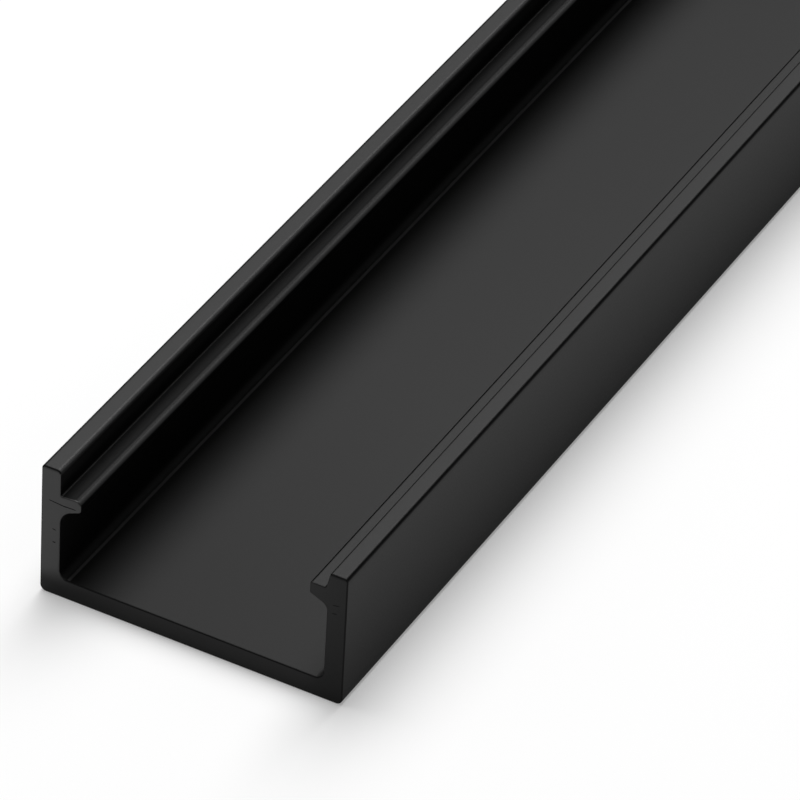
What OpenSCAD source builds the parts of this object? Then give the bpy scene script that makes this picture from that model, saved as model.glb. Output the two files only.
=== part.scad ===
// Surface-mount light-strip channel: a length of extruded aluminium with a flat floor and
// two side walls. A clip-in cover rests on a flat ledge under the right lip and hooks over
// a lower, rounded bead under the left lip.
// Millimetres. The section lies in X and Z, the length runs along Y,
// and the origin is the centre of the flat underside.

/* [Stock] */
// Length that the bar is cut to
stock_len = 500; // [100:10:1000]
// Width over the outer faces of the side walls
body_w = 17.5; // [14:0.5:24]
// Height from the underside to the top of the lips
body_h = 8; // [7:0.1:14]

/* [Walls] */
// Thickness of each side wall
wall_t = 1.1; // [0.8:0.05:1.6]
// Thickness of the floor
floor_t = 1.2; // [0.8:0.1:2]

/* [Right ledge] */
// Depth of the ledge below the top of its lip
ledge_d = 0.95; // [0.6:0.05:1.2]
// Reach of the ledge from its side wall to its tip
ledge_reach = 1; // [0.8:0.05:1.4]
// Height of the ledge's tip
ledge_t = 0.7; // [0.5:0.05:1]
// Radius of the two corners at the ledge's tip
ledge_tip_r = 0.12; // [0.1:0.01:0.2]
// Radius of the fillet between the ledge's underside and the wall
ledge_armpit_r = 0.5; // [0.3:0.05:0.8]
// Radius of the inner corner of the right lip
right_lip_r = 0.12; // [0.1:0.01:0.2]
// Lean of the right lip's inner face away from the channel, in degrees
lip_lean = 13; // [0:1:20]

/* [Left bead] */
// Depth of the bead's root below the top of its lip
bead_d = 1.6; // [1.2:0.05:2]
// Reach of the bead from its side wall to its tip
bead_reach = 1.2; // [0.9:0.05:1.6]
// Height of the bead's tip before its corners are rounded
bead_t = 0.7; // [0.6:0.05:1]
// Rise of the bead's top from its root, in degrees
bead_rise = 5; // [0:1:15]
// Radius of the top of the bead's tip
bead_nose_r = 0.35; // [0.15:0.05:0.4]
// Radius of the bottom of the bead's tip
bead_tip_r = 0.2; // [0.1:0.05:0.25]
// Radius of the fillet between the bead's underside and the wall
bead_armpit_r = 0.95; // [0.5:0.05:1]
// Radius of the inner corner of the left lip
left_lip_r = 0.2; // [0.1:0.05:0.35]

/* [Both sides] */
// Slope of the undersides of the ledge and the bead, in degrees down towards the wall
under_slope = 23; // [10:1:35]
// Radius of the two outer corners along the underside
foot_r = 0.35; // [0.1:0.05:0.6]
// Radius of the outer corner of each lip
lip_r = 0.2; // [0.1:0.05:0.35]
// Radius of the fillets between the floor and the walls
root_r = 0.5; // [0.3:0.05:1]
// Radius of the fillets between the lips and the tops of the ledge and the bead
seat_r = 0.1; // [0.05:0.05:0.2]

/* [Cut ends] */
// Chamfer that takes the burr off the outer edges of each sawn end
deburr = 0.07; // [0.05:0.01:0.2]

/* [Hidden] */

$fn = 64;
// How far a cutting shape runs past the face that it cuts
past = 1;
// Scale of a rounding's wedge about the centre of its circle, so that it laps its edges
lap = 1.2;
// Depth to which a rounding's circle crosses the edges that it joins
bite = 0.0001;

half_w = body_w / 2;
inner_half = half_w - wall_t;

// Corners of one side of the section, numbered from the middle of the floor
ROOT = 1;
ARMPIT = 2;
TIP = 3;
NOSE = 4;
SEAT = 5;
LIP_IN = 6;
LIP = 7;
FOOT = 8;

right_path = side_path(ledge_d, ledge_reach, ledge_t, lip_lean, 0);
left_path = side_path(bead_d, bead_reach, bead_t, 0, bead_rise);

// Radius at each corner of a side, in the order of its numbers
right_radii = [0, root_r, ledge_armpit_r, ledge_tip_r, ledge_tip_r, seat_r, right_lip_r, lip_r, foot_r];
left_radii = [0, root_r, bead_armpit_r, bead_tip_r, bead_nose_r, seat_r, left_lip_r, lip_r, foot_r];

// One side of the section, drawn on the right, from the middle of the floor
// to the middle of the underside
function side_path(depth, reach, tip_t, lean, rise) =
    let (
        tip_x = inner_half - reach,
        lean_x = depth / 2 * tan(lean),
        seat = [inner_half - lean_x, body_h - depth],
        nose = [tip_x, seat.y + (seat.x - tip_x) * tan(rise)],
        tip = nose - [0, tip_t],
        armpit = [inner_half, tip.y - reach * tan(under_slope)],
        lip_in = [inner_half + lean_x, body_h]
    )
    [
        [0, floor_t], [inner_half, floor_t], armpit, tip, nose, seat, lip_in,
        [half_w, body_h], [half_w, 0], [0, 0]
    ];

function unit(v) = v / norm(v);

// The part of a side that bounds the open space, run past the top
function open_edge(path) = [for (i = [ROOT : LIP_IN]) path[i], path[LIP_IN] + [0, past]];

// The wedge between a corner and a circle that touches both of its edges, lapped past them
module corner_wedge(before, corner, after, r) {
    ways = [unit(before - corner), unit(after - corner)];
    half = acos(ways[0] * ways[1]) / 2;
    centre = corner + unit(ways[0] + ways[1]) * r / sin(half);
    touch = [for (way = ways) corner + way * r / tan(half)];
    difference() {
        polygon([centre, for (p = [touch[0], corner, touch[1]]) centre + (p - centre) * lap]);
        translate(centre) circle(r + bite);
    }
}

// The wedges at some corners of one side
module side_wedges(path, radii, corners) {
    for (i = corners) corner_wedge(path[i - 1], path[i], path[i + 1], radii[i]);
}

// The wedges at the same corners of both sides
module wedges(corners) {
    side_wedges(right_path, right_radii, corners);
    mirror([1, 0]) side_wedges(left_path, left_radii, corners);
}

// The open space: strip channel, mouth and cover recess, with its fillets
module open_space() {
    right = open_edge(right_path);
    left = [for (p = open_edge(left_path)) [-p.x, p.y]];
    difference() {
        polygon(concat(right, [for (i = [len(left) - 1 : -1 : 0]) left[i]]));
        wedges([ROOT, ARMPIT, SEAT]);
    }
}

// The die's outline, drawn with the width along X and the height along Y
module section() {
    difference() {
        translate([-half_w, 0]) square([body_w, body_h]);
        open_space();
        wedges([TIP, NOSE, LIP_IN, LIP, FOOT]);
    }
}

// A length between two sawn ends, as wide as asked, with its four corners cut off
module trimmed_outline(width) {
    x = width / 2;
    y = stock_len / 2;
    polygon([
        [x, y - deburr], [x - deburr, y], [deburr - x, y], [-x, y - deburr],
        [-x, deburr - y], [deburr - x, -y], [x - deburr, -y], [x, deburr - y]
    ]);
}

module channel_profile() {
    color([0.09, 0.09, 0.095])
        intersection() {
            rotate([90, 0, 0]) linear_extrude(height = stock_len, center = true) section();
            translate([0, 0, -past]) linear_extrude(height = body_h + 2 * past) trimmed_outline(body_w);
            translate([0, 0, body_h / 2]) rotate([0, 90, 0])
                linear_extrude(height = body_w + 2 * past, center = true) trimmed_outline(body_h);
        }
}

channel_profile();
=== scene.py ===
import math

import bmesh
import bpy
from bpy.props import FloatProperty, FloatVectorProperty, IntProperty, PointerProperty
from mathutils import Matrix, Vector


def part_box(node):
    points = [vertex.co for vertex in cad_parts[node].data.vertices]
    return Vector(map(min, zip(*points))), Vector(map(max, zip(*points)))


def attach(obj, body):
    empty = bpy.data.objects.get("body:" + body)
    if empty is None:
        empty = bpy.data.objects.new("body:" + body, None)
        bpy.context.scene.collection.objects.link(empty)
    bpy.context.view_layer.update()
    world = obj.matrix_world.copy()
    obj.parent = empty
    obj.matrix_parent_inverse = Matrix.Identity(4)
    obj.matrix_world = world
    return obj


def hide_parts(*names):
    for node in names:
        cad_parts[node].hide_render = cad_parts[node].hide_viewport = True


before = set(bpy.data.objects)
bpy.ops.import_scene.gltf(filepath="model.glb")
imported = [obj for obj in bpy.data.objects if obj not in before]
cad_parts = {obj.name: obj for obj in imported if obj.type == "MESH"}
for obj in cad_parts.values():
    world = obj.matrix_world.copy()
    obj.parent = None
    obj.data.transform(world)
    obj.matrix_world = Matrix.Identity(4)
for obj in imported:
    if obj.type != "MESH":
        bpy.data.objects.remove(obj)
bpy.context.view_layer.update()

bl_info = {
    "name": "Light-strip channel",
    "version": (1, 0, 0),
    "blender": (4, 5, 0),
    "location": "View3D > Sidebar > Channel",
    "description": "Models a length of black anodised light-strip channel and its studio",
    "category": "Object",
}

MM = 0.001
NODE = "channel_profile"
BAR_LOW, BAR_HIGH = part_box(NODE)

# Marks on the front end in millimetres: x and z of both ends, width and depth.
# One bent scratch runs across the bead, and each wall has two short nicks.
END_MARKS = (
    ((-8.28, 5.95), (-7.30, 5.865), 0.05, 0.05),
    ((-7.65, 5.88), (-6.74, 5.90), 0.05, 0.05),
    ((-8.07, 4.20), (-7.88, 4.16), 0.05, 0.03),
    ((-8.05, 3.37), (-7.88, 3.38), 0.06, 0.03),
    ((7.97, 6.11), (8.34, 6.18), 0.04, 0.02),
    ((7.96, 5.58), (8.22, 5.64), 0.04, 0.02),
)

# Places of the bar's materials in its list
EXTRUDED, FILED, SAWN = range(3)
# How far a face looks along the bar: less than this on its sides, and more than this on its ends
SIDE_FACING, END_FACING = 0.01, 0.99
# Two points of the section that are closer than this are one
SAME_POINT = 0.001 * MM
# Edges that turn less than this are shaded smooth
SMOOTH_TURN = math.radians(40)

# How far the dyed film looks like metal and not like dye
FILM_METALLIC = 0.9

# The paper's side in metres, and how far it lies below the bar, so that the two faces don't fight
PAPER_SIDE, PAPER_DROP = 30, 0.02 * MM
# Width of the camera's sensor in millimetres
SENSOR_W = 36


def to_linear(code):
    """Turns an sRGB hex colour into linear RGB."""
    parts = [int(code[i:i + 2], 16) / 255 for i in (1, 3, 5)]
    return tuple(c / 12.92 if c <= 0.04045 else ((c + 0.055) / 1.055) ** 2.4 for c in parts)


def length(name, description, default):
    """A size in metres that a user can change."""
    return FloatProperty(
        name=name, description=description, default=default, subtype="DISTANCE", unit="LENGTH"
    )


def turn(name, description, degrees):
    """An angle that a user can change."""
    return FloatProperty(name=name, description=description, default=math.radians(degrees), subtype="ANGLE")


def tint(name, description, code):
    """A colour that a user can change."""
    return FloatVectorProperty(
        name=name, description=description, default=to_linear(code), subtype="COLOR", size=3, min=0, max=1
    )


class ChannelSizes(bpy.types.PropertyGroup):
    """Sizes of the bar."""

    stock_len: length("Length", "Length that the bar is cut to", BAR_HIGH.y - BAR_LOW.y)
    body_w: length("Width", "Width over the side walls", BAR_HIGH.x - BAR_LOW.x)
    body_h: length("Height", "Height from the underside to the lips", BAR_HIGH.z - BAR_LOW.z)
    wall_t: length("Wall", "Thickness of each side wall", 1.1 * MM)
    floor_t: length("Floor", "Thickness of the floor", 1.2 * MM)
    ledge_d: length("Ledge depth", "Depth of the right ledge below its lip", 0.95 * MM)
    ledge_reach: length("Ledge reach", "Reach of the right ledge from its wall", 1.0 * MM)
    ledge_t: length("Ledge tip", "Height of the right ledge's tip", 0.7 * MM)
    ledge_tip_r: length("Ledge tip radius", "Rounding of both corners of the right ledge's tip", 0.12 * MM)
    ledge_armpit_r: length("Ledge armpit radius", "Fillet below the right ledge", 0.5 * MM)
    right_lip_r: length("Right lip radius", "Rounding of the inner edge of the right lip", 0.12 * MM)
    lip_lean: turn("Lip lean", "Lean of the right lip's inner face away from the channel", 13)
    bead_d: length("Bead depth", "Depth of the left bead's root below its lip", 1.6 * MM)
    bead_reach: length("Bead reach", "Reach of the left bead from its wall", 1.2 * MM)
    bead_t: length("Bead tip", "Height of the left bead's tip before its corners are rounded", 0.7 * MM)
    bead_rise: turn("Bead rise", "Rise of the left bead's top from its root", 5)
    bead_nose_r: length("Bead nose radius", "Rounding of the top of the left bead's tip", 0.35 * MM)
    bead_tip_r: length("Bead tip radius", "Rounding of the bottom of the left bead's tip", 0.2 * MM)
    bead_armpit_r: length("Bead armpit radius", "Fillet below the left bead", 0.95 * MM)
    left_lip_r: length("Left lip radius", "Rounding of the inner edge of the left lip", 0.2 * MM)
    under_slope: turn("Underside slope", "Slope of the undersides of the ledge and the bead", 23)
    foot_r: length("Foot radius", "Rounding of the outer bottom corners", 0.35 * MM)
    lip_r: length("Lip radius", "Rounding of the outer edge of each lip", 0.2 * MM)
    root_r: length("Root radius", "Fillet between the floor and the walls", 0.5 * MM)
    seat_r: length("Seat radius", "Fillet between the lips and what stands below them", 0.1 * MM)
    deburr: length("Deburring", "Rounding of the edges of each sawn end", 0.07 * MM)
    arc_steps: IntProperty(name="Arc steps", description="Facets in each rounded corner", default=10, min=3)
    deburr_steps: IntProperty(
        name="Deburr steps", description="Facets across a deburred edge", default=3, min=1
    )


class ChannelFinish(bpy.types.PropertyGroup):
    """Colours of the bar and its studio."""

    anodised: tint("Anodised black", "Dyed oxide film on the extruded faces", "#363636")
    sawn: tint("Sawn black", "Dyed oxide film on the sawn ends", "#3F3F3F")
    # The filed black is darker than the film as painted shade for the dark edges and marks of the ends
    filed: tint("Filed black", "Dyed oxide film on the filed edges of the ends", "#1C1C1C")
    edge_sheen: tint("Sheen at grazing angles", "How far the film brightens near its edges", "#BCBCBC")
    paper: tint("Paper", "White paper under the bar", "#DCDCDC")


class StudioSetup(bpy.types.PropertyGroup):
    """Camera and lights."""

    lens: FloatProperty(name="Lens", description="Focal length", default=296.39, unit="CAMERA")
    camera_place: FloatVectorProperty(
        name="Camera", description="Place of the camera from the front end's foot", subtype="TRANSLATION",
        unit="LENGTH", default=(123.57 * MM, -224.04 * MM, 209.86 * MM),
    )
    camera_aim: FloatVectorProperty(
        name="Aim", description="Point of the bar at the middle of the picture", subtype="TRANSLATION",
        unit="LENGTH", default=(-0.14 * MM, 22.22 * MM, 1.2 * MM),
    )
    camera_roll: turn("Roll", "Turn of the camera about its view", 3.288)
    key_height: length("Key height", "Height of the softbox above the table", 1.2)
    key_left: turn("Key left", "Left side of the softbox, from straight above the front end", -38)
    key_right: turn("Key right", "Right side of the softbox, from straight above the front end", 13)
    key_front: turn("Key front", "Front side of the softbox, from straight above the front end", -8)
    key_back: turn("Key back", "Back side of the softbox, from straight above the front end", 62)
    key_glow: FloatProperty(name="Key", description="Brightness of the softbox", default=5.0)
    fill: FloatProperty(name="Fill", description="Brightness of the room around the softbox", default=0.15)
    paper_glow: FloatProperty(
        name="Paper glow", description="Light that the paper adds to what is seen", default=0.27
    )


def add_node(tree, kind, sockets=None, **settings):
    """Adds a node with its settings, and fills its inputs with values or links."""
    node = tree.nodes.new(kind)
    for name, value in settings.items():
        setattr(node, name, value)
    for name, value in (sockets or {}).items():
        if isinstance(value, bpy.types.NodeSocket):
            tree.links.new(value, node.inputs[name])
        else:
            node.inputs[name].default_value = value
    return node


def new_material(name):
    """A material and its empty node tree."""
    material = bpy.data.materials.new(name)
    material.use_nodes = True
    material.node_tree.nodes.clear()
    return material, material.node_tree


def dye(tree, finish, colour, roughness, normal):
    """Finishes a surface of the bar with the dyed oxide film, a dark metal that pales at grazing angles."""
    film = add_node(
        tree, "ShaderNodeBsdfPrincipled",
        {
            "Base Color": colour, "Metallic": FILM_METALLIC, "Specular Tint": (*finish.edge_sheen, 1.0),
            "Roughness": roughness, "Normal": normal,
        },
    )
    add_node(tree, "ShaderNodeOutputMaterial", {"Surface": film.outputs["BSDF"]})


def painted_light_streaks(sizes):
    """Streaks of painted shade and painted highlight along the bar, where the film is coloured darker or
    brighter.

    Each has its x and z, the reach of its full tone, the reach at which it has faded, and its tone.
    """
    outer, top = sizes.body_w / 2, sizes.body_h
    inner = outer - sizes.wall_t
    lip_middle = (inner + outer) / 2
    lip_shift = sizes.ledge_d / 2 * math.tan(sizes.lip_lean)
    ledge_tip = inner - sizes.ledge_reach
    ledge_middle = inner - sizes.ledge_reach / 2
    ledge_z = top - sizes.ledge_d
    bead_middle = sizes.bead_reach / 2 - inner
    bead_z = top - sizes.bead_d
    nose_x = sizes.bead_reach - inner
    nose_z = bead_z + sizes.bead_reach * math.tan(sizes.bead_rise)
    nose_r = sizes.bead_nose_r
    # How far down the left lip's rounding and how far round the bead's nose the painted highlights sit
    lip_highlight_depth, nose_highlight_turn = 0.75 * sizes.left_lip_r, math.radians(52)
    nose_highlight_x = nose_x - nose_r * (1 - math.sin(nose_highlight_turn))
    nose_highlight_z = nose_z - nose_r * (1 - math.cos(nose_highlight_turn))
    # The left fillet's painted highlight lies just past the fillet
    past_fillet = sizes.root_r - inner + 0.04 * MM
    return [
        # Painted shade in dark lines: the outer edges of both lips, the ledge's tip and the inner edge of the
        # right lip
        (-outer, top, 0.1 * MM, 0.25 * MM, 0.4),
        (outer, top, 0.1 * MM, 0.2 * MM, 0.28),
        (ledge_tip, ledge_z, 0.1 * MM, 0.16 * MM, 0.1),
        (inner + lip_shift, top, 0.06 * MM, 0.14 * MM, 0.75),
        # Painted shade: the lips and the ledge are a shade darker than the walls, and the bead darker still
        (-lip_middle, top, 0.6 * MM, 0.8 * MM, 0.78),
        (lip_middle, top, 0.5 * MM, 0.7 * MM, 0.64),
        (ledge_middle, ledge_z, 0.65 * MM, 0.85 * MM, 0.64),
        (bead_middle, bead_z, 0.75 * MM, 1.0 * MM, 0.36),
        # A painted highlight along the inner edge of the left lip
        (-inner, top - lip_highlight_depth, 0.1 * MM, 0.2 * MM, 3.8),
        # Painted shade on the bead's nose where its rounding starts, and a painted highlight further round
        (nose_x - nose_r, nose_z, 0.05 * MM, 0.12 * MM, 0.6),
        (nose_highlight_x, nose_highlight_z, 0.08 * MM, 0.17 * MM, 6.5),
        # A fine painted highlight runs along the left fillet, and the whole right fillet is painted bright
        (past_fillet, sizes.floor_t, 0.05 * MM, 0.11 * MM, 7.5),
        (inner, sizes.floor_t, 0.3 * sizes.root_r, sizes.root_r, 3.2),
    ]


def extruded_black(finish, sizes):
    """Extruded aluminium under a dyed oxide film."""
    # The eye sees satin black with a soft sheen and fine streaks along the bar. Painted shade darkens it
    # towards the foot and in the channel, most of all near the front end, painted light brightens the lips,
    # and painted shade and highlights run as lines along its edges.
    foot_tone, lip_tone = 0.585, 1.19
    # Painted shade inside the channel, deepest near the front end, and how far from the end it lasts
    channel_front_tone, channel_tone, channel_front_run = 0.79, 0.94, 22 * MM
    # The lines that the die leaves and the etched grain are drawn coarser than real ones, so that they show
    die_gap, die_run, die_depth = 0.3 * MM, 60 * MM, 0.0008 * MM
    grain_size, grain_depth = 0.12 * MM, 0.002 * MM
    grain_low, grain_high = 0.3, 0.7
    smoothest, roughest = 0.44, 0.48

    material, tree = new_material("black anodised aluminium, extruded")
    place = add_node(tree, "ShaderNodeTexCoord").outputs["Object"]
    split = add_node(tree, "ShaderNodeSeparateXYZ", {"Vector": place})
    front_y = -sizes.stock_len / 2
    outer = sizes.body_w / 2
    # Painted shade towards the foot and painted light towards the lips, by height
    painted_height_shade = add_node(
        tree, "ShaderNodeMapRange",
        {
            "Value": split.outputs["Z"], "From Min": 0.0, "From Max": sizes.body_h,
            "To Min": foot_tone, "To Max": lip_tone,
        },
    )
    # Painted shade that deepens towards the front end
    painted_front_shade = add_node(
        tree, "ShaderNodeMapRange",
        {
            "Value": split.outputs["Y"], "From Min": front_y, "From Max": front_y + channel_front_run,
            "To Min": channel_front_tone, "To Max": channel_tone,
        },
    )
    across = add_node(
        tree, "ShaderNodeVectorMath", {0: place, 1: (1.0, 0.0, 1.0)}, operation="MULTIPLY"
    ).outputs["Vector"]
    depth = add_node(
        tree, "ShaderNodeVectorMath", {0: across, 1: (0.0, 0.0, sizes.floor_t)}, operation="DISTANCE"
    )
    # Painted shade inside the channel, fading out across the walls
    painted_channel_shade = add_node(
        tree, "ShaderNodeMapRange",
        {
            "Value": depth.outputs["Value"], "From Min": outer - sizes.wall_t, "From Max": outer,
            "To Min": painted_front_shade.outputs["Result"], "To Max": 1.0,
        },
    )
    factors = [painted_channel_shade]
    # Painted shade and painted highlights in streaks along the bar, multiplied into the colour
    for x, z, solid, faded, painted_streak_tone in painted_light_streaks(sizes):
        away = add_node(tree, "ShaderNodeVectorMath", {0: across, 1: (x, 0.0, z)}, operation="DISTANCE")
        factors.append(add_node(
            tree, "ShaderNodeMapRange",
            {
                "Value": away.outputs["Value"], "From Min": solid, "From Max": faded,
                "To Min": painted_streak_tone, "To Max": 1.0,
            },
        ))
    tone = painted_height_shade.outputs["Result"]
    for factor in factors:
        tone = add_node(
            tree, "ShaderNodeMath", {0: tone, 1: factor.outputs["Result"]}, operation="MULTIPLY"
        ).outputs["Value"]
    colour = add_node(
        tree, "ShaderNodeVectorMath", {0: tuple(finish.anodised), "Scale": tone}, operation="SCALE"
    )
    stretched = add_node(
        tree, "ShaderNodeMapping", {"Vector": place, "Scale": (1 / die_gap, 1 / die_run, 1 / die_gap)}
    )
    die_lines = add_node(
        tree, "ShaderNodeTexNoise", {"Vector": stretched.outputs["Vector"], "Scale": 1.0, "Detail": 3.0}
    )
    grain = add_node(tree, "ShaderNodeTexNoise", {"Vector": place, "Scale": 1 / grain_size, "Detail": 2.0})
    lines_bump = add_node(
        tree, "ShaderNodeBump", {"Height": die_lines.outputs["Fac"], "Strength": 1.0, "Distance": die_depth}
    )
    grain_bump = add_node(
        tree, "ShaderNodeBump",
        {
            "Height": grain.outputs["Fac"], "Strength": 1.0, "Distance": grain_depth,
            "Normal": lines_bump.outputs["Normal"],
        },
    )
    roughness = add_node(
        tree, "ShaderNodeMapRange",
        {
            "Value": grain.outputs["Fac"], "From Min": grain_low, "From Max": grain_high,
            "To Min": smoothest, "To Max": roughest,
        },
    )
    dye(tree, finish, colour.outputs["Vector"], roughness.outputs["Result"], grain_bump.outputs["Normal"])
    return material


def sawn_black(finish, sizes):
    """A sawn end, anodised with the bar."""
    # The eye sees fine upright scores of the saw. Light and shade are painted into the colour: bright on the
    # left wall, dimmer towards the right, darker towards the foot and dull along the floor, with painted
    # shade on the tops of both lips
    left_tone, right_tone = 1.2, 0.44
    floor_tone, floor_end_tone = 0.4, 0.32
    # Heights at which the walls have their full tone
    left_climb, right_climb = 1.6 * MM, 9 * MM
    # Depths below the top of the lips at which their painted shade starts and is darkest
    rim_start, rim_end, rim_tone = 0.2 * MM, 0.08 * MM, 0.5
    tooth_gap, tooth_run, tooth_depth = 0.12 * MM, 3 * MM, 0.003 * MM
    scored_roughness = 0.48

    material, tree = new_material("black anodised aluminium, sawn")
    place = add_node(tree, "ShaderNodeTexCoord").outputs["Object"]
    split = add_node(tree, "ShaderNodeSeparateXYZ", {"Vector": place})
    x, z = split.outputs["X"], split.outputs["Z"]
    outer, top = sizes.body_w / 2, sizes.body_h
    inner = outer - sizes.wall_t
    # Painted light and shade across the end: the walls' tone, the height where it is full, and the floor's
    # tone
    walls, climb, floor = (
        add_node(
            tree, "ShaderNodeMapRange",
            {"Value": x, "From Min": start, "From Max": end, "To Min": low, "To Max": high},
        ).outputs["Result"]
        for start, end, low, high in (
            (-outer, outer, left_tone, right_tone),
            (-outer, outer, left_climb, right_climb),
            (inner - sizes.wall_t, inner, floor_tone, floor_end_tone),
        )
    )
    # Painted shade towards the foot, rising to the walls' painted light
    rise = add_node(
        tree, "ShaderNodeMapRange",
        {"Value": z, "From Min": sizes.floor_t / 2, "From Max": climb, "To Min": floor, "To Max": walls},
        interpolation_type="SMOOTHSTEP",
    )
    # Painted shade along the tops of the lips
    rim = add_node(
        tree, "ShaderNodeMapRange",
        {
            "Value": z, "From Min": top - rim_start, "From Max": top - rim_end,
            "To Min": 1.0, "To Max": rim_tone,
        },
    )
    tone = add_node(
        tree, "ShaderNodeMath", {0: rise.outputs["Result"], 1: rim.outputs["Result"]}, operation="MULTIPLY"
    )
    colour = add_node(
        tree, "ShaderNodeVectorMath", {0: tuple(finish.sawn), "Scale": tone.outputs["Value"]},
        operation="SCALE",
    )
    stretched = add_node(
        tree, "ShaderNodeMapping",
        {"Vector": place, "Scale": (1 / tooth_gap, 1 / tooth_gap, 1 / tooth_run)},
    )
    scores = add_node(
        tree, "ShaderNodeTexNoise", {"Vector": stretched.outputs["Vector"], "Scale": 1.0, "Detail": 3.0}
    )
    bump = add_node(
        tree, "ShaderNodeBump", {"Height": scores.outputs["Fac"], "Strength": 1.0, "Distance": tooth_depth}
    )
    dye(tree, finish, colour.outputs["Vector"], scored_roughness, bump.outputs["Normal"])
    return material


def filed_black_with_painted_shade(finish):
    """An edge or a mark that was there before anodising, filed or scratched, coloured darker as painted
    shade.
    """
    # The eye sees a thin rough line, darker than the faces beside it, where the darker colour is painted
    # shade
    stroke, stroke_depth = 0.08 * MM, 0.004 * MM
    smoothest, roughest = 0.5, 0.7

    material, tree = new_material("black anodised aluminium, filed")
    place = add_node(tree, "ShaderNodeTexCoord").outputs["Object"]
    strokes = add_node(tree, "ShaderNodeTexNoise", {"Vector": place, "Scale": 1 / stroke, "Detail": 2.0})
    bump = add_node(
        tree, "ShaderNodeBump", {"Height": strokes.outputs["Fac"], "Strength": 1.0, "Distance": stroke_depth}
    )
    roughness = add_node(
        tree, "ShaderNodeMapRange", {"Value": strokes.outputs["Fac"], "To Min": smoothest, "To Max": roughest}
    )
    dye(tree, finish, (*finish.filed, 1.0), roughness.outputs["Result"], bump.outputs["Normal"])
    return material


def white_paper(finish, studio):
    """Matt white paper under the bar."""
    # The eye sees an even white that takes the bar's shadow. What is seen of it, straight or in the metal,
    # is lifted towards white.
    material, tree = new_material("white paper, matt")
    path = add_node(tree, "ShaderNodeLightPath")
    seen = path.outputs["Is Camera Ray"]
    for ray in ("Is Glossy Ray", "Is Transmission Ray"):
        seen = add_node(
            tree, "ShaderNodeMath", {0: seen, 1: path.outputs[ray]}, operation="MAXIMUM"
        ).outputs["Value"]
    glow = add_node(tree, "ShaderNodeMath", {0: seen, 1: studio.paper_glow}, operation="MULTIPLY")
    sheet = add_node(
        tree, "ShaderNodeBsdfPrincipled",
        {
            "Base Color": (*finish.paper, 1.0), "Roughness": 1.0, "Specular IOR Level": 0.0,
            "Emission Color": (1.0, 1.0, 1.0, 1.0), "Emission Strength": glow.outputs["Value"],
        },
    )
    add_node(tree, "ShaderNodeOutputMaterial", {"Surface": sheet.outputs["BSDF"]})
    return material


def start_mesh(name, add, **shape):
    """Adds a primitive on its own, names it and opens it for editing."""
    if bpy.context.mode != "OBJECT":
        bpy.ops.object.mode_set(mode="OBJECT")
    bpy.ops.object.select_all(action="DESELECT")
    add(**shape)
    piece = bpy.context.object
    piece.name = piece.data.name = name
    bpy.ops.object.mode_set(mode="EDIT")
    return piece


def pick(piece, kind, test):
    """Selects the vertices or faces of the open mesh that pass a test."""
    bpy.ops.mesh.select_mode(type={"verts": "VERT", "faces": "FACE"}[kind])
    bpy.ops.mesh.select_all(action="DESELECT")
    mesh = bmesh.from_edit_mesh(piece.data)
    found = [part for part in getattr(mesh, kind) if test(part)]
    if not found:
        raise RuntimeError(f"no {kind} to pick on {piece.name}")
    for part in found:
        part.select_set(True)
    bmesh.update_edit_mesh(piece.data)


def bring_home():
    """Puts the open piece's place into its mesh, so that its object sits at the origin."""
    bpy.ops.object.mode_set(mode="OBJECT")
    bpy.ops.object.transform_apply(location=True, rotation=True, scale=True)


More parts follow.
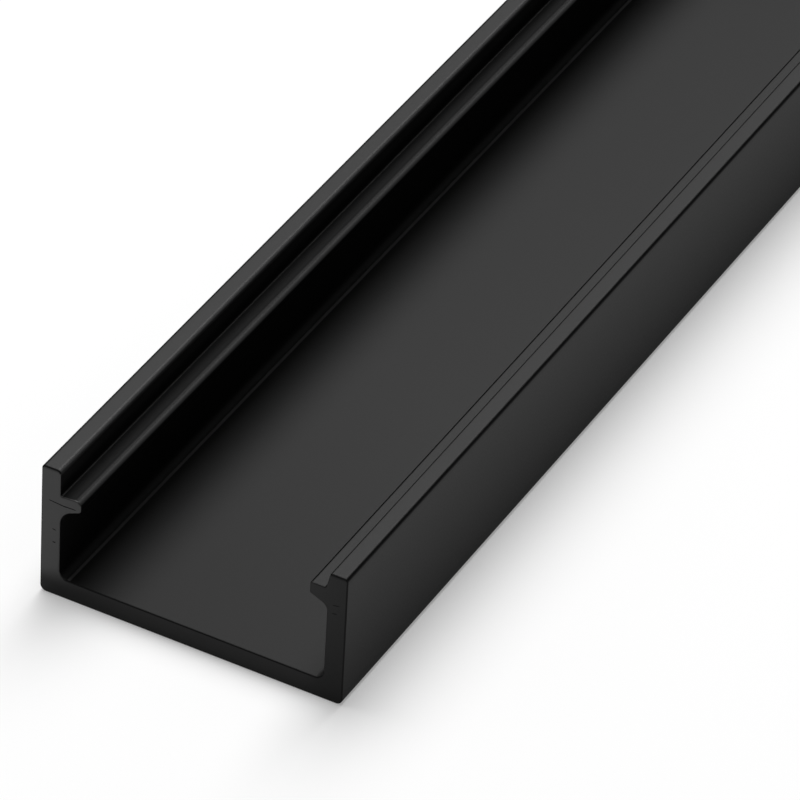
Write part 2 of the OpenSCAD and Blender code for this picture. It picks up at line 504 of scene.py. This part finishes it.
class CHANNEL_OT_profile(bpy.types.Operator):
    """Models the bar: traces its section, rounds it, extrudes the length, and deburrs and marks the ends"""

    bl_idname = "channel.profile"
    bl_label = "Channel profile"
    bl_options = {"REGISTER", "UNDO"}

    def side(self, sizes, depth, reach, tip_t, lean, rise, radii):
        """One side of the section, from the foot to the floor.

        Each corner has its distance from the middle, its z, its opening angle and its radius.
        """
        lip_in_r, nose_r, tip_r, armpit_r = radii
        outer, top = sizes.body_w / 2, sizes.body_h
        inner = outer - sizes.wall_t
        tip = inner - reach
        seat_z = top - depth
        shift = depth / 2 * math.tan(lean)
        nose_z = seat_z + (reach - shift) * math.tan(rise)
        tip_z = nose_z - tip_t
        armpit_z = tip_z - reach * math.tan(sizes.under_slope)
        square = math.pi / 2
        blunt = square + sizes.under_slope
        return [
            (outer, 0.0, square, sizes.foot_r),
            (outer, top, square, sizes.lip_r),
            (inner + shift, top, square + lean, lip_in_r),
            (inner - shift, seat_z, square + lean - rise, sizes.seat_r),
            (tip, nose_z, square - rise, nose_r),
            (tip, tip_z, blunt, tip_r),
            (inner, armpit_z, blunt, armpit_r),
            (inner, sizes.floor_t, square, sizes.root_r),
        ]

    def corners(self, sizes):
        """The whole section: x, z, opening angle and radius of each corner."""
        right = self.side(
            sizes, sizes.ledge_d, sizes.ledge_reach, sizes.ledge_t, sizes.lip_lean, 0.0,
            (sizes.right_lip_r, sizes.ledge_tip_r, sizes.ledge_tip_r, sizes.ledge_armpit_r),
        )
        left = self.side(
            sizes, sizes.bead_d, sizes.bead_reach, sizes.bead_t, 0.0, sizes.bead_rise,
            (sizes.left_lip_r, sizes.bead_nose_r, sizes.bead_tip_r, sizes.bead_armpit_r),
        )
        return right + [(-x, *rest) for x, *rest in reversed(left)]

    def trace(self, corners):
        """Draws the section by pulling one point from corner to corner, and closes it."""
        bpy.ops.mesh.merge(type="CENTER")
        at = corners[0]
        for corner in corners[1:]:
            step = (corner[0] - at[0], 0, corner[1] - at[1])
            bpy.ops.mesh.extrude_region_move(TRANSFORM_OT_translate={"value": step})
            at = corner
        bpy.ops.mesh.select_all(action="SELECT")
        bpy.ops.mesh.edge_face_add()

    def round_corners(self, bar, corners, steps):
        """Rounds each corner to its radius."""
        for x, z, opening, radius in corners:
            pick(
                bar, "verts",
                lambda vert: abs(vert.co.x - x) < SAME_POINT and abs(vert.co.z - z) < SAME_POINT,
            )
            bpy.ops.mesh.bevel(
                offset_type="OFFSET", offset=radius / math.tan(opening / 2), segments=steps, profile=0.5,
                affect="VERTICES", clamp_overlap=False,
            )

    def deburr(self, bar, size, steps):
        """Rounds the edges of both ends by rings of insets that step out along a quarter circle."""
        for i in range(steps):
            before, after = (math.radians(90) * step / steps for step in (i, i + 1))
            pick(bar, "faces", lambda face: abs(face.normal.y) > END_FACING)
            bpy.ops.mesh.inset(
                thickness=size * (math.cos(before) - math.cos(after)),
                depth=size * (math.sin(after) - math.sin(before)), use_even_offset=True, use_individual=True,
            )

    def is_filed(self, place, sizes):
        """Whether the file ran here: the outer half of the walls, the floor and the tops of the lips."""
        outside = abs(place.x) > (sizes.body_w - sizes.wall_t) / 2
        return outside or place.z < sizes.floor_t or place.z > sizes.body_h - sizes.lip_r

    def surface(self, face, sizes):
        """Which of the bar's materials a face has."""
        facing = abs(face.normal.y)
        if facing < SIDE_FACING:
            return EXTRUDED
        # The filed faces take the darker film, painted shade along the edges of the ends
        if facing < END_FACING and self.is_filed(face.center, sizes):
            return FILED
        return SAWN

    def score(self, bar, material, start, end, normal, width, depth):
        """Cuts a fine mark with the rim of a thin disc, so that the mark runs out at both ends."""
        run = end - start
        radius = (run.length ** 2 / 4 + depth ** 2) / (2 * depth)
        lean = Vector((0, 0, 1)).rotation_difference(normal.cross(run))
        disc = start_mesh(
            "marking_disc", bpy.ops.mesh.primitive_cylinder_add, vertices=128, radius=radius, depth=width,
            location=(start + end) / 2 + normal * (radius - depth), rotation=lean.to_euler(),
        )
        bring_home()
        disc.data.materials.append(material)
        bpy.ops.object.select_all(action="DESELECT")
        bpy.context.view_layer.objects.active = bar
        cut = bar.modifiers.new("mark", "BOOLEAN")
        cut.object = disc
        cut.operation = "DIFFERENCE"
        cut.solver = "EXACT"
        cut.material_mode = "TRANSFER"
        bpy.ops.object.modifier_apply(modifier=cut.name)
        bpy.data.objects.remove(disc)

    def execute(self, context):
        sizes, finish = context.scene.channel_sizes, context.scene.channel_finish
        corners = self.corners(sizes)
        start_x, start_z = corners[0][:2]
        end_y = -sizes.stock_len / 2
        bar = start_mesh(
            "channel_bar", bpy.ops.mesh.primitive_plane_add, size=sizes.wall_t,
            location=(start_x, end_y + sizes.deburr, start_z),
        )
        bring_home()
        bpy.ops.object.mode_set(mode="EDIT")
        bpy.ops.mesh.select_all(action="SELECT")
        self.trace(corners)
        self.round_corners(bar, corners, sizes.arc_steps)
        pick(bar, "faces", lambda face: True)
        run = sizes.stock_len - 2 * sizes.deburr
        bpy.ops.mesh.extrude_region_move(TRANSFORM_OT_translate={"value": (0, run, 0)})
        bpy.ops.mesh.select_all(action="SELECT")
        bpy.ops.mesh.normals_make_consistent(inside=False)
        self.deburr(bar, sizes.deburr, sizes.deburr_steps)
        bpy.ops.object.mode_set(mode="OBJECT")
        filed = filed_black_with_painted_shade(finish)
        for material in (extruded_black(finish, sizes), filed, sawn_black(finish, sizes)):
            bar.data.materials.append(material)
        for face in bar.data.polygons:
            face.material_index = self.surface(face, sizes)
        for *ends, width, depth in END_MARKS:
            start, end = (Vector((x * MM, end_y, z * MM)) for x, z in ends)
            self.score(bar, filed, start, end, Vector((0, -1, 0)), width * MM, depth * MM)
        bar.select_set(True)
        bpy.ops.object.shade_smooth_by_angle(angle=SMOOTH_TURN)
        even = bar.modifiers.new("even flats", "WEIGHTED_NORMAL")
        even.keep_sharp = True
        bpy.ops.object.modifier_apply(modifier=even.name)
        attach(bar, "root")
        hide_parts(NODE)
        return {"FINISHED"}


class CHANNEL_OT_stage(bpy.types.Operator):
    """Sets the bar on white paper under one wide softbox, with the camera in front of its cut end"""

    bl_idname = "channel.stage"
    bl_label = "Studio"
    bl_options = {"REGISTER", "UNDO"}

    def lay_paper(self, finish, studio):
        """A wide sheet of paper under the bar."""
        sheet = start_mesh(
            "paper", bpy.ops.mesh.primitive_plane_add, size=PAPER_SIDE, location=(0, 0, -PAPER_DROP)
        )
        bring_home()
        sheet.data.materials.append(white_paper(finish, studio))

    def hang_softbox(self, studio, front_y):
        """One softbox above the front end and far behind it, which fades towards its left and right sides."""
        # Brightness at the two sides, and the shares of the width between which it is full
        left_level, right_level = 0.15, 0.2
        full_from, full_to = 0.52, 0.8

        left, right, front, back = (
            studio.key_height * math.tan(angle)
            for angle in (studio.key_left, studio.key_right, studio.key_front, studio.key_back)
        )
        bpy.ops.object.select_all(action="DESELECT")
        bpy.ops.object.light_add(
            type="AREA", location=((left + right) / 2, front_y + (front + back) / 2, studio.key_height)
        )
        lamp = bpy.context.object
        lamp.name = "softbox"
        lamp.visible_camera = False
        light = lamp.data
        light.shape = "RECTANGLE"
        light.size = right - left
        light.size_y = back - front
        light.energy = studio.key_glow * math.pi * light.size * light.size_y
        light.use_nodes = True
        tree = light.node_tree
        tree.nodes.clear()
        spot = add_node(tree, "ShaderNodeNewGeometry").outputs["Parametric"]
        share = add_node(tree, "ShaderNodeSeparateXYZ", {"Vector": spot}).outputs["X"]
        fade_left = add_node(
            tree, "ShaderNodeMapRange", {"Value": share, "From Max": full_from, "To Min": left_level}
        )
        fade_right = add_node(
            tree, "ShaderNodeMapRange",
            {"Value": share, "From Min": full_to, "To Min": 1.0, "To Max": right_level},
            interpolation_type="SMOOTHSTEP",
        )
        both = add_node(
            tree, "ShaderNodeMath", {0: fade_left.outputs["Result"], 1: fade_right.outputs["Result"]},
            operation="MULTIPLY",
        )
        glow = add_node(tree, "ShaderNodeEmission", {"Strength": both.outputs["Value"]})
        add_node(tree, "ShaderNodeOutputLight", {"Surface": glow.outputs["Emission"]})

    def fill_room(self, scene, studio):
        """A dim room, equally bright all round."""
        world = bpy.data.worlds.new("studio room")
        scene.world = world
        world.use_nodes = True
        tree = world.node_tree
        tree.nodes.clear()
        room = add_node(
            tree, "ShaderNodeBackground", {"Color": (1.0, 1.0, 1.0, 1.0), "Strength": studio.fill}
        )
        add_node(tree, "ShaderNodeOutputWorld", {"Surface": room.outputs["Background"]})

    def set_camera(self, scene, studio, front_y):
        """The camera, a long lens that looks down on the front end."""
        foot = Vector((0, front_y, 0))
        place = foot + Vector(studio.camera_place)
        ahead = (foot + Vector(studio.camera_aim) - place).normalized()
        level = ahead.cross(Vector((0, 0, 1))).normalized()
        up = level.cross(ahead)
        right = level * math.cos(studio.camera_roll) + up * math.sin(studio.camera_roll)
        axes = Matrix((right, right.cross(ahead), -ahead)).transposed()
        bpy.ops.object.select_all(action="DESELECT")
        bpy.ops.object.camera_add(location=place, rotation=axes.to_euler())
        camera = bpy.context.object
        camera.name = "camera"
        camera.data.lens = studio.lens
        camera.data.sensor_width = SENSOR_W
        scene.camera = camera

    def execute(self, context):
        scene = context.scene
        studio = scene.channel_studio
        front_y = -scene.channel_sizes.stock_len / 2
        self.lay_paper(scene.channel_finish, studio)
        self.hang_softbox(studio, front_y)
        self.fill_room(scene, studio)
        self.set_camera(scene, studio, front_y)
        scene.view_settings.view_transform = "Standard"
        return {"FINISHED"}


class CHANNEL_PT_panel(bpy.types.Panel):
    """Lists the bar's operators and settings"""

    bl_label = "Light-strip channel"
    bl_idname = "CHANNEL_PT_panel"
    bl_space_type = "VIEW_3D"
    bl_region_type = "UI"
    bl_category = "Channel"

    def draw(self, context):
        for operator in (CHANNEL_OT_profile, CHANNEL_OT_stage):
            self.layout.operator(operator.bl_idname)
        for name in GROUPS:
            group = getattr(context.scene, name)
            box = self.layout.box()
            for setting in group.__annotations__:
                box.prop(group, setting)


CLASSES = (ChannelSizes, ChannelFinish, StudioSetup, CHANNEL_OT_profile, CHANNEL_OT_stage, CHANNEL_PT_panel)
GROUPS = {"channel_sizes": ChannelSizes, "channel_finish": ChannelFinish, "channel_studio": StudioSetup}


def register():
    for each in CLASSES:
        bpy.utils.register_class(each)
    for name, group in GROUPS.items():
        setattr(bpy.types.Scene, name, PointerProperty(type=group))


def unregister():
    for name in GROUPS:
        delattr(bpy.types.Scene, name)
    for each in reversed(CLASSES):
        bpy.utils.unregister_class(each)


def main():
    register()
    bpy.ops.channel.profile()
    bpy.ops.channel.stage()


if __name__ == "__main__":
    main()
